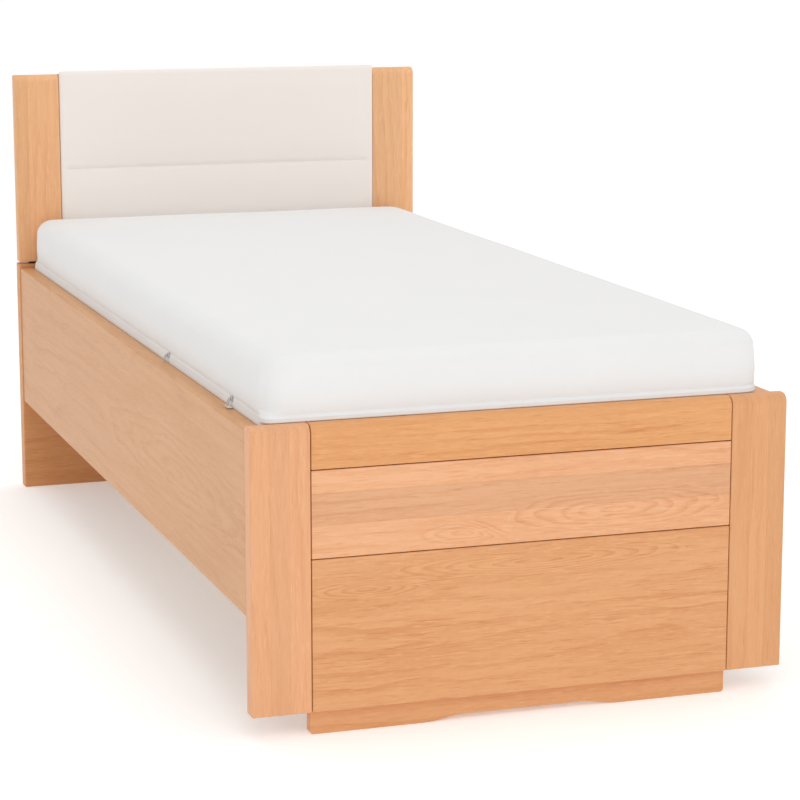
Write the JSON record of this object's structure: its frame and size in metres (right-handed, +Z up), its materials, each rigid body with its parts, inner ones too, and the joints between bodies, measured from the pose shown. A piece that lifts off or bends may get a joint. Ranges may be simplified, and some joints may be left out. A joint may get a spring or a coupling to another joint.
{
  "type": "single bed",
  "caption": "Wooden single bed with an upholstered headboard, a mattress, and a slatted base whose back and leg sections tilt on notched supports.",
  "frame": {"origin": "on the floor, under the middle of the bed's box, lying flat", "axes": "+Z up, +Y towards the head end, +X to the right seen from the foot end"},
  "size_m": [0.99, 2.09, 0.998],
  "materials": {
    "oak_wood": "satin",
    "birch_wood": "satin",
    "steel": "satin",
    "dark_plastic": "matte",
    "cream_cover": "matte",
    "white_cover": "matte",
    "zip_metal": "satin"
  },
  "bodies": {
    "bedstead": {"foot_post_left": "oak_wood", "foot_post_right": "oak_wood", "foot_top_rail": "oak_wood", "foot_middle_board": "oak_wood", "foot_lower_panel": "oak_wood", "foot_plinth": "oak_wood", "head_lower_panel": "oak_wood", "head_gap_strip": "dark_plastic", "head_board_left": "oak_wood", "head_board_right": "oak_wood", "head_pad": "cream_cover", "head_pad_backing": "birch_wood", "head_rear_panel": "oak_wood", "side_rail_left": "oak_wood", "side_rail_right": "oak_wood", "slat_ledge_left": "birch_wood", "slat_ledge_right": "birch_wood", "corner_bracket_foot_left": "dark_plastic", "corner_bracket_foot_right": "dark_plastic", "corner_bracket_head_left": "dark_plastic", "corner_bracket_head_right": "dark_plastic", "base_side_left": "birch_wood", "base_side_right": "birch_wood", "base_end_foot": "birch_wood", "base_end_head": "birch_wood", "back_pivot_rod": "steel", "leg_pivot_rod": "steel", "back_rack_left": "dark_plastic", "back_rack_right": "dark_plastic", "leg_rack_left": "dark_plastic", "leg_rack_right": "dark_plastic", "seat_slat_1": "birch_wood", "seat_slat_2": "birch_wood", "mattress_seat": "white_cover"},
    "back_section": {"back_side_left": "birch_wood", "back_side_right": "birch_wood", "back_bow_bar": "birch_wood", "back_end_bar": "birch_wood", "back_slat_1": "birch_wood", "back_slat_2": "birch_wood", "back_slat_3": "birch_wood", "back_slat_4": "birch_wood", "back_slat_5": "birch_wood", "mattress_back": "white_cover"},
    "leg_section": {"leg_side_left": "birch_wood", "leg_side_right": "birch_wood", "leg_bow_bar": "birch_wood", "leg_end_bar": "birch_wood", "leg_slat_1": "birch_wood", "leg_slat_2": "birch_wood", "leg_slat_3": "birch_wood", "leg_slat_4": "birch_wood", "leg_slat_5": "birch_wood", "mattress_legs": "white_cover"},
    "back_bow": {"back_bow": "steel"},
    "leg_bow": {"leg_bow": "steel"},
    "zip_slider_foot": {"zip_slider_foot": "zip_metal"},
    "zip_pull_foot": {"zip_pull_foot": "zip_metal"},
    "zip_slider_side": {"zip_slider_side": "zip_metal"},
    "zip_pull_side": {"zip_pull_side": "zip_metal"}
  },
  "joints": [
    {"name": "back_tilt", "type": "hinge", "parent": "bedstead", "child": "back_section", "pos_m": [0, 0.2, 0.415], "axis": [1, 0, 0], "range_deg": [0, 45], "deforming": ["mattress_back"]},
    {"name": "leg_tilt", "type": "hinge", "parent": "bedstead", "child": "leg_section", "pos_m": [0, -0.15, 0.415], "axis": [-1, 0, 0], "range_deg": [0, 25], "deforming": ["mattress_legs"]},
    {"name": "back_bow_fold", "type": "hinge", "parent": "back_section", "child": "back_bow", "pos_m": [0, 0.49946, 0.433], "axis": [1, 0, 0], "range_deg": [-90, 0]},
    {"name": "leg_bow_fold", "type": "hinge", "parent": "leg_section", "child": "leg_bow", "pos_m": [0, -0.39935, 0.433], "axis": [-1, 0, 0], "range_deg": [-50, 0]},
    {"name": "zip_slider_foot_run", "type": "slide", "parent": "leg_section", "child": "zip_slider_foot", "axis": [0, 1, 0], "range_m": [-0.12, 0.22]},
    {"name": "zip_pull_foot_swing", "type": "hinge", "parent": "zip_slider_foot", "child": "zip_pull_foot", "pos_m": [-0.4652, -0.818, 0.55], "axis": [0, 1, 0], "range_deg": [0, 140]},
    {"name": "zip_slider_side_run", "type": "slide", "parent": "leg_section", "child": "zip_slider_side", "axis": [0, 1, 0], "range_m": [-0.22, 0]},
    {"name": "zip_pull_side_swing", "type": "hinge", "parent": "zip_slider_side", "child": "zip_pull_side", "pos_m": [-0.4652, -0.355, 0.55], "axis": [0, 1, 0], "range_deg": [0, 140]}
  ],
  "couplings": [
    {"joint": "back_bow_fold", "follows": "back_tilt", "ratio": -2},
    {"joint": "leg_bow_fold", "follows": "leg_tilt", "ratio": -2}
  ]
}
